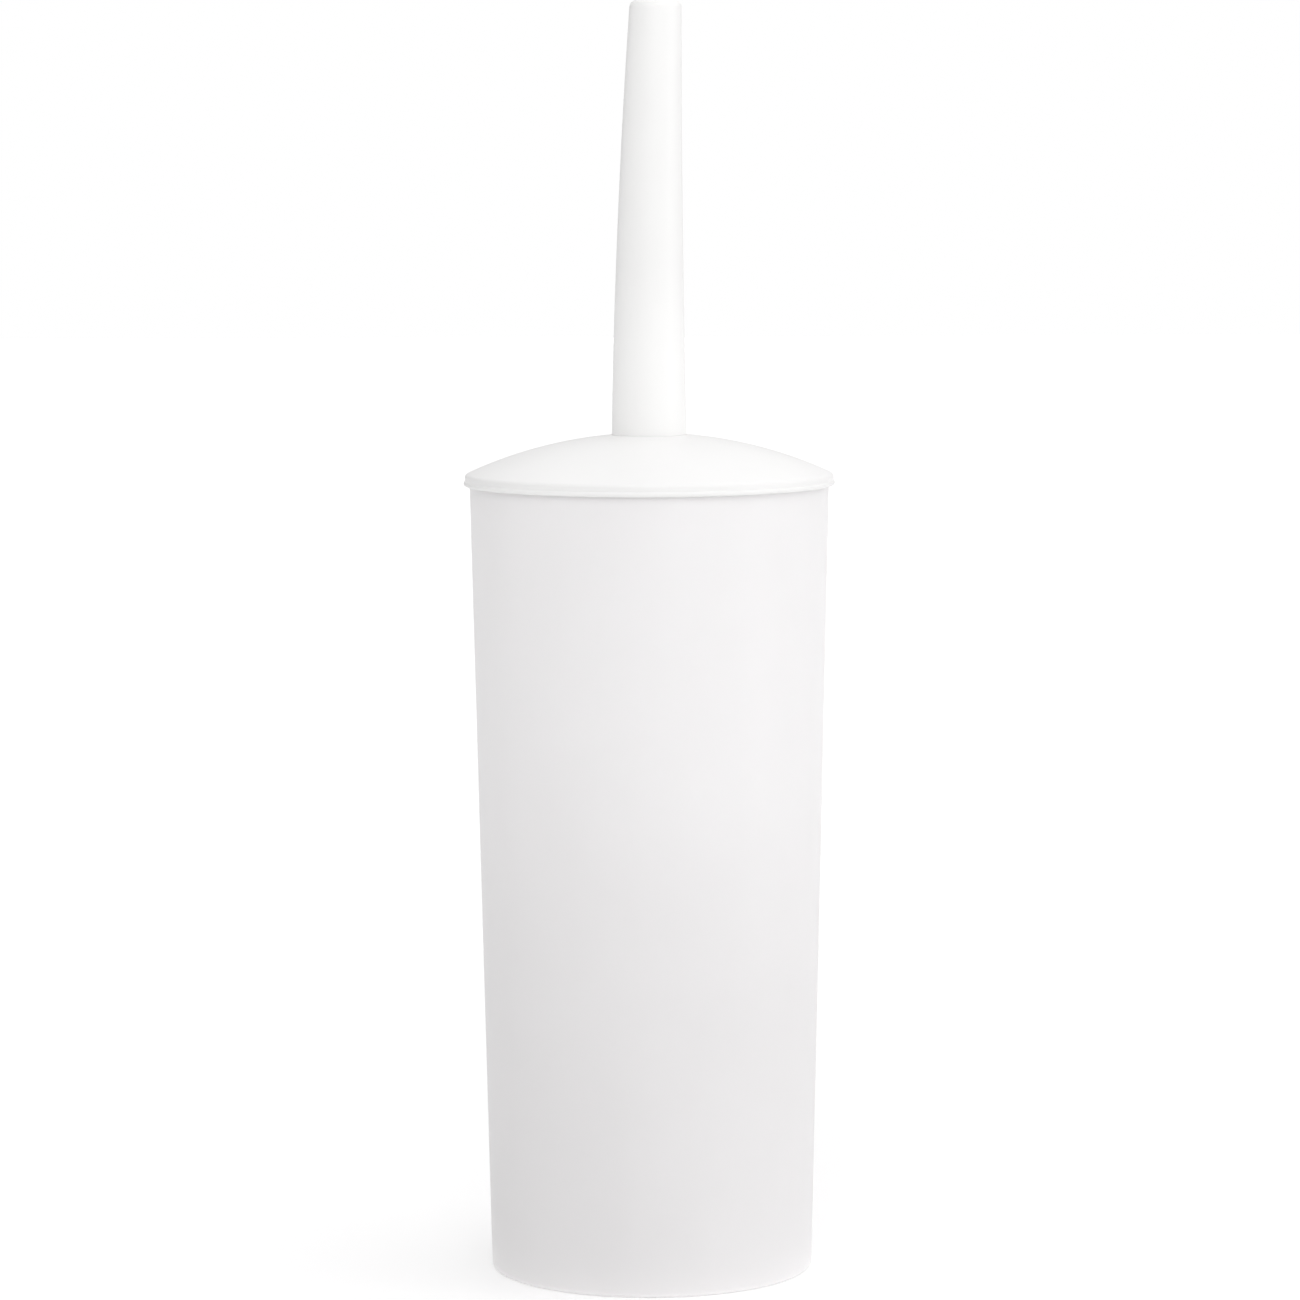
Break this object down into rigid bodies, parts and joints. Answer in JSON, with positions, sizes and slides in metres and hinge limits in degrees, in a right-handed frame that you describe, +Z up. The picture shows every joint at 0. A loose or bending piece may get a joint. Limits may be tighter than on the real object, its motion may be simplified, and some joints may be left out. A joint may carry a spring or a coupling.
{
  "type": "toilet brush holder",
  "caption": "Tapered round toilet brush holder with a shallow domed lid and a tapered handle; the lid and brush lift out together and the brush turns in the lid.",
  "frame": {"origin": "middle of the foot ring, on the floor", "axes": "+Z up along the tub's axis, -Y to the front, the handle bows towards +X"},
  "size_m": [0.11, 0.11, 0.3767],
  "materials": {
    "tub_plastic": "satin moulded white",
    "lid_plastic": "satin moulded white",
    "handle_plastic": "satin moulded white",
    "stem_plastic": "satin moulded white",
    "head_plastic": "satin moulded white",
    "bristle_filament": "drawn white filament",
    "anchor_wire": "flat drawn wire"
  },
  "bodies": {
    "holder": {"holder": "tub_plastic"},
    "lid": {"lid": "lid_plastic"},
    "brush": {"handle": "handle_plastic", "stem": "stem_plastic", "head_core": "head_plastic", "bristle_row_1": "bristle_filament", "bristle_row_2": "bristle_filament", "bristle_row_3": "bristle_filament", "bristle_row_4": "bristle_filament", "bristle_row_5": "bristle_filament", "bristle_row_6": "bristle_filament", "bristle_row_7": "bristle_filament", "bristle_row_8": "bristle_filament", "bristle_row_9": "bristle_filament", "bristle_ring_lower": "bristle_filament", "bristle_ring_bottom": "bristle_filament", "bristle_end_tuft": "bristle_filament", "tuft_anchors": "anchor_wire"}
  },
  "joints": [
    {"name": "brush_lift", "type": "slide", "parent": "holder", "child": "lid", "axis": [0, 0, 1], "range_m": [0, 0.235]},
    {"name": "brush_spin", "type": "hinge", "parent": "lid", "child": "brush", "pos_m": [0, 0, 0.2425], "axis": [0, 0, 1], "continuous": true}
  ]
}
